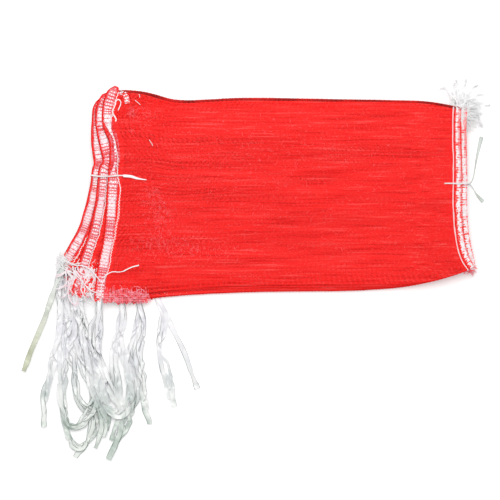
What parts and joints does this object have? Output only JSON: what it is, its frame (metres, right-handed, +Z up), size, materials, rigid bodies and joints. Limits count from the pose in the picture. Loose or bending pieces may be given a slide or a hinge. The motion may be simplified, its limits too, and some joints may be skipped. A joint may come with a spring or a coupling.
{
  "type": "mesh produce bag bundle",
  "caption": "Flat tied bundle of knitted mesh drawstring bags, with film ribbon drawstrings and overlocked seams.",
  "frame": {"origin": "centre of the bundle's bounding box in plan, without its free ribbons and threads, on the surface it lies on", "axes": "+X from the mouths to the bottom seams, +Y away from the side where the drawstrings leave, +Z up, out of the front panels"},
  "size_m": [0.614, 0.4956, 0.0242],
  "materials": {
    "net": "knitted polypropylene net, red",
    "thread": "white spun sewing thread",
    "ribbon": "translucent white film tape",
    "tie": "white film strand"
  },
  "bodies": {
    "bundle": {"bag_1_front_panel": "net", "bag_1_back_panel": "net", "bag_1_mouth_hem": "net", "bag_1_hem_stitch": "thread", "bag_1_bottom_seam": "thread", "bag_2_front_panel": "net", "bag_2_back_panel": "net", "bag_2_mouth_hem": "net", "bag_2_hem_stitch": "thread", "bag_2_bottom_seam": "thread", "bag_3_front_panel": "net", "bag_3_back_panel": "net", "bag_3_mouth_hem": "net", "bag_3_hem_stitch": "thread", "bag_3_bottom_seam": "thread", "bag_4_front_panel": "net", "bag_4_back_panel": "net", "bag_4_mouth_hem": "net", "bag_4_hem_stitch": "thread", "bag_4_bottom_seam": "thread", "bag_5_front_panel": "net", "bag_5_back_panel": "net", "bag_5_mouth_hem": "net", "bag_5_hem_stitch": "thread", "bag_5_bottom_seam": "thread", "bag_6_front_panel": "net", "bag_6_back_panel": "net", "bag_6_mouth_hem": "net", "bag_6_hem_stitch": "thread", "bag_6_bottom_seam": "thread", "bag_7_front_panel": "net", "bag_7_back_panel": "net", "bag_7_mouth_hem": "net", "bag_7_hem_stitch": "thread", "bag_7_bottom_seam": "thread", "bag_8_front_panel": "net", "bag_8_back_panel": "net", "bag_8_mouth_hem": "net", "bag_8_hem_stitch": "thread", "bag_8_bottom_seam": "thread", "mouth_tie": "tie", "bottom_tie": "tie", "tie_tails": "tie", "thread_tails": "thread"},
    "drawstring_1": {"bag_1_drawstring": "ribbon", "bag_1_drawstring_tails": "ribbon"},
    "drawstring_2": {"bag_2_drawstring": "ribbon", "bag_2_drawstring_tails": "ribbon"},
    "drawstring_3": {"bag_3_drawstring": "ribbon", "bag_3_drawstring_tails": "ribbon"},
    "drawstring_4": {"bag_4_drawstring": "ribbon", "bag_4_drawstring_tails": "ribbon"},
    "drawstring_5": {"bag_5_drawstring": "ribbon", "bag_5_drawstring_tails": "ribbon"},
    "drawstring_6": {"bag_6_drawstring": "ribbon", "bag_6_drawstring_tails": "ribbon"},
    "drawstring_7": {"bag_7_drawstring": "ribbon", "bag_7_drawstring_tails": "ribbon"},
    "drawstring_8": {"bag_8_drawstring": "ribbon", "bag_8_drawstring_tails": "ribbon"}
  },
  "joints": [
    {"name": "drawstring_1_pull", "type": "slide", "parent": "bundle", "child": "drawstring_1", "axis": [0.3796, -0.9252, 0], "range_m": [0, 0.04], "deforming": ["bag_1_mouth_hem", "bag_1_drawstring_tails"]},
    {"name": "drawstring_2_pull", "type": "slide", "parent": "bundle", "child": "drawstring_2", "axis": [-0.3396, -0.9406, 0], "range_m": [0, 0.04], "deforming": ["bag_2_mouth_hem", "bag_2_drawstring_tails", "bag_2_drawstring"]},
    {"name": "drawstring_3_pull", "type": "slide", "parent": "bundle", "child": "drawstring_3", "axis": [0.2099, -0.9777, 0], "range_m": [0, 0.04], "deforming": ["bag_3_mouth_hem", "bag_3_drawstring_tails"]},
    {"name": "drawstring_4_pull", "type": "slide", "parent": "bundle", "child": "drawstring_4", "axis": [-0.2669, -0.9637, 0], "range_m": [0, 0.04], "deforming": ["bag_4_mouth_hem", "bag_4_drawstring_tails"]},
    {"name": "drawstring_5_pull", "type": "slide", "parent": "bundle", "child": "drawstring_5", "axis": [0.1044, -0.9945, 0], "range_m": [0, 0.04], "deforming": ["bag_5_mouth_hem", "bag_5_drawstring_tails"]},
    {"name": "drawstring_6_pull", "type": "slide", "parent": "bundle", "child": "drawstring_6", "axis": [-0.3457, -0.9383, 0], "range_m": [0, 0.04], "deforming": ["bag_6_mouth_hem", "bag_6_drawstring_tails", "bag_6_drawstring"]},
    {"name": "drawstring_7_pull", "type": "slide", "parent": "bundle", "child": "drawstring_7", "axis": [-0.2222, -0.975, 0], "range_m": [0, 0.04], "deforming": ["bag_7_mouth_hem", "bag_7_drawstring_tails"]},
    {"name": "drawstring_8_pull", "type": "slide", "parent": "bundle", "child": "drawstring_8", "axis": [-0.1132, -0.9936, 0], "range_m": [0, 0.04], "deforming": ["bag_8_mouth_hem", "bag_8_drawstring_tails"]}
  ]
}
